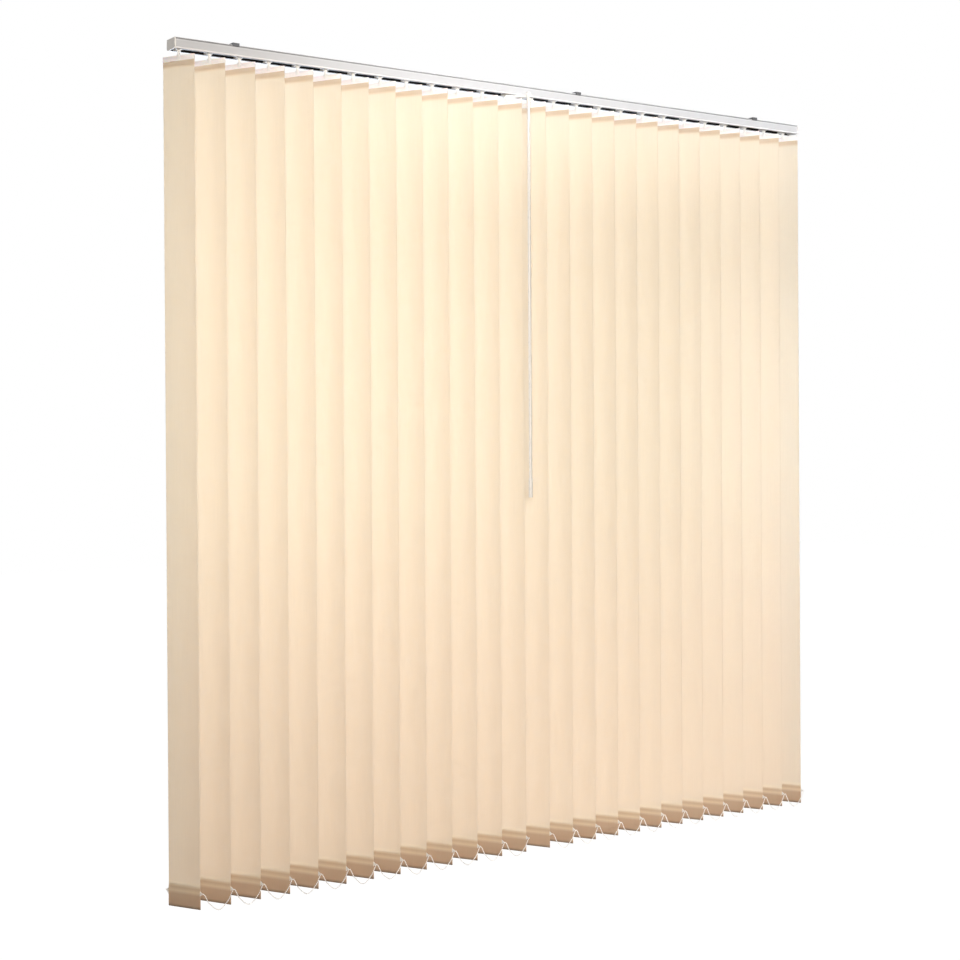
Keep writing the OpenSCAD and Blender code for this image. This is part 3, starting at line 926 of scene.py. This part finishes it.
@dataclass
class Hardware:
    """Rail, caps, clips, tilt rod and wand, whose shapes come from the frame."""

    palette: Palette

    def build(self) -> None:
        """Gives each of them its finish."""
        finishes = {
            "headrail": self.palette.rail,
            "end_caps": self.palette.plastic,
            "ceiling_clips": self.palette.clip,
            "tilt_rod": self.palette.rod,
            "wand": self.palette.wand,
        }
        for node, material in finishes.items():
            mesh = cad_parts[node].data
            mesh.materials.clear()
            mesh.materials.append(material)
            LOG.info("%s finished", node)


@dataclass(frozen=True)
class Softbox:
    """Rectangular soft light, with its power in watts and the angle of its beam in degrees."""

    name: str
    place: Point
    aim: Point
    size: Flat
    power: float
    colour: Colour
    spread: float

    def make(self) -> None:
        """Puts the light in its place, turned to what it points at."""
        data = bpy.data.lights.new(self.name, "AREA")
        data.spread = math.radians(self.spread)
        data.shape = "RECTANGLE"
        data.size, data.size_y = self.size
        data.energy = self.power
        data.color = self.colour
        light = bpy.data.objects.new(self.name, data)
        bpy.context.scene.collection.objects.link(light)
        turn = (Vector(self.aim) - Vector(self.place)).to_track_quat("-Z", "Y").to_matrix().to_4x4()
        light.matrix_world = Matrix.Translation(self.place) @ turn


@dataclass
class Studio:
    """Camera, soft lights, floor and white surroundings."""

    camera_place: Point = (-2.5875, -3.5587, -0.9304)
    yaw: float = math.radians(34.641)
    pitch: float = math.radians(-0.304)
    roll: float = math.radians(0.345)
    lens: float = 62.87
    sensor: float = 36.0
    shift_y: float = -0.0313
    view_reach: float = 100.0
    softboxes: tuple[Softbox, ...] = (
        Softbox(
            "window_glow", place=(0.95, 2.4, -0.55), aim=(-0.1, 0.0, -0.6), size=(3.0, 1.3),
            power=43.5, colour=(0.83, 0.98, 1.19), spread=150.0,
        ),
        Softbox(
            "room_fill", place=(-1.8, -3.0, -0.42), aim=(-0.45, 0.0, -0.72), size=(1.3, 1.4),
            power=26.5, colour=(0.96, 0.87, 0.77), spread=85.0,
        ),
        Softbox(
            "right_fill", place=(-1.3, -2.9, -0.6), aim=(1.7, 0.0, -0.9), size=(0.5, 0.9),
            power=2.85, colour=(0.98, 0.98, 0.98), spread=32.0,
        ),
        Softbox(
            "rail_fill", place=(0.58, -2.8, 0.3), aim=(0.53, 0.0, 0.22), size=(2.2, 0.2),
            power=5.7, colour=(1.0, 0.99, 0.98), spread=24.0,
        ),
        Softbox(
            "foot_fill", place=(0.7, -2.8, -1.75), aim=(0.6, 0.0, -2.1), size=(1.2, 0.4),
            power=3.6, colour=(0.96, 0.95, 0.93), spread=46.0,
        ),
        Softbox(
            "overhead", place=(0.0, 0.0, 2.0), aim=(0.0, 0.0, 0.0), size=(2.4, 0.4),
            power=7.0, colour=(1.0, 0.98, 0.95), spread=50.0,
        ),
    )
    floor_z: float = -2.4
    floor_size: float = 30.0
    floor_dark: Colour = (0.72, 0.65, 0.58)
    floor_light: Colour = (0.74, 0.67, 0.6)
    floor_white: float = 1.08
    floor_blend: float = 0.92
    ambient: float = 0.18
    ambient_colour: Colour = (1.0, 0.98, 0.95)

    def camera(self) -> None:
        """Puts the camera where the photograph was taken from."""
        data = bpy.data.cameras.new("camera")
        data.lens = self.lens
        data.sensor_width = self.sensor
        data.shift_y = self.shift_y
        data.dof.use_dof = False
        data.clip_end = self.view_reach
        camera = bpy.data.objects.new("camera", data)
        bpy.context.scene.collection.objects.link(camera)
        level = Matrix.Rotation(-self.yaw, 4, "Z") @ Matrix.Rotation(math.pi / 2 + self.pitch, 4, "X")
        turn = level @ Matrix.Rotation(-self.roll, 4, "Z")
        camera.matrix_world = Matrix.Translation(self.camera_place) @ turn
        bpy.context.scene.camera = camera

    def lights(self) -> None:
        """Lights the cloth from behind and the rest softly from the room."""
        for softbox in self.softboxes:
            softbox.make()

    def floor(self, material: bpy.types.Material) -> None:
        """Lays the pale floor.

        Args:
            material: Finish of the floor.
        """
        mesh = bpy.data.meshes.new("floor")
        half = self.floor_size / 2
        corners = [(-half, -half), (half, -half), (half, half), (-half, half)]
        mesh.from_pydata([(x, y, self.floor_z) for x, y in corners], [], [(0, 1, 2, 3)])
        mesh.materials.append(material)
        floor = bpy.data.objects.new("floor", mesh)
        bpy.context.scene.collection.objects.link(floor)

    @staticmethod
    def seen_rays(tree: bpy.types.NodeTree) -> bpy.types.Node:
        """Adds a value that is 1 for what the camera, a gloss or a clear pane sees.

        Args:
            tree: Node tree that takes the value.

        Returns:
            The node that gives it.
        """
        path = tree.nodes.new("ShaderNodeLightPath")
        first = tree.nodes.new("ShaderNodeMath")
        first.operation = "MAXIMUM"
        second = tree.nodes.new("ShaderNodeMath")
        second.operation = "MAXIMUM"
        tree.links.new(path.outputs["Is Camera Ray"], first.inputs[0])
        tree.links.new(path.outputs["Is Glossy Ray"], first.inputs[1])
        tree.links.new(first.outputs[0], second.inputs[0])
        tree.links.new(path.outputs["Is Transmission Ray"], second.inputs[1])
        return second

    def floor_material(self) -> bpy.types.Material:
        """Makes the floor's finish: matt, blended into the white around it, with a faint shadow.

        Returns:
            The material.
        """
        graph = NodeGraph("studio_floor")
        graph.set(Roughness=0.9, Specular_IOR_Level=0.1)
        cloud = graph.add("ShaderNodeTexNoise", Scale=3.0)
        tint = graph.ramp(cloud, "Fac", [(0.3, self.floor_dark), (0.7, self.floor_light)])
        graph.link(tint, "Color", graph.shader, "Base Color")
        white = graph.add("ShaderNodeEmission", Strength=self.floor_white)
        mix = graph.add("ShaderNodeMixShader")
        seen = self.seen_rays(graph.tree)
        share = graph.math("MULTIPLY", seen, 0, self.floor_blend)
        graph.link(share, 0, mix, "Fac")
        graph.link(graph.shader, "BSDF", mix, 1)
        graph.link(white, "Emission", mix, 2)
        graph.link(mix, "Shader", graph.output, "Surface")
        return graph.material

    def world(self) -> None:
        """Makes white surroundings that light the object at a plain level."""
        world = bpy.data.worlds.new("studio")
        world.use_nodes = True
        tree = world.node_tree
        tree.nodes.clear()
        output = tree.nodes.new("ShaderNodeOutputWorld")
        ambient = tree.nodes.new("ShaderNodeBackground")
        ambient.inputs["Color"].default_value = (*self.ambient_colour, 1.0)
        ambient.inputs["Strength"].default_value = self.ambient
        white = tree.nodes.new("ShaderNodeBackground")
        white.inputs["Color"].default_value = (1.0, 1.0, 1.0, 1.0)
        mix = tree.nodes.new("ShaderNodeMixShader")
        tree.links.new(self.seen_rays(tree).outputs[0], mix.inputs["Fac"])
        tree.links.new(ambient.outputs[0], mix.inputs[1])
        tree.links.new(white.outputs[0], mix.inputs[2])
        tree.links.new(mix.outputs[0], output.inputs["Surface"])
        bpy.context.scene.world = world

    def build(self) -> None:
        """Sets up the studio."""
        bpy.context.scene.view_settings.view_transform = "Standard"
        self.camera()
        self.lights()
        self.floor(self.floor_material())
        self.world()
        LOG.info("studio set")


def main() -> None:
    """Builds the blind's looks and the studio round it."""
    logging.basicConfig(level=logging.INFO, format="%(name)s: %(message)s")
    layout, palette = Layout(), Palette()
    Studio().build()
    Chains(layout, palette).build()
    Hardware(palette).build()
    Carriers(layout, palette).build()
    slats = Slats(layout, palette)
    for number in range(1, layout.count + 1):
        slats.build(number)
    LOG.info("cloth cut %.4f m long", slats.cut_length())


if __name__ == "__main__":
    main()
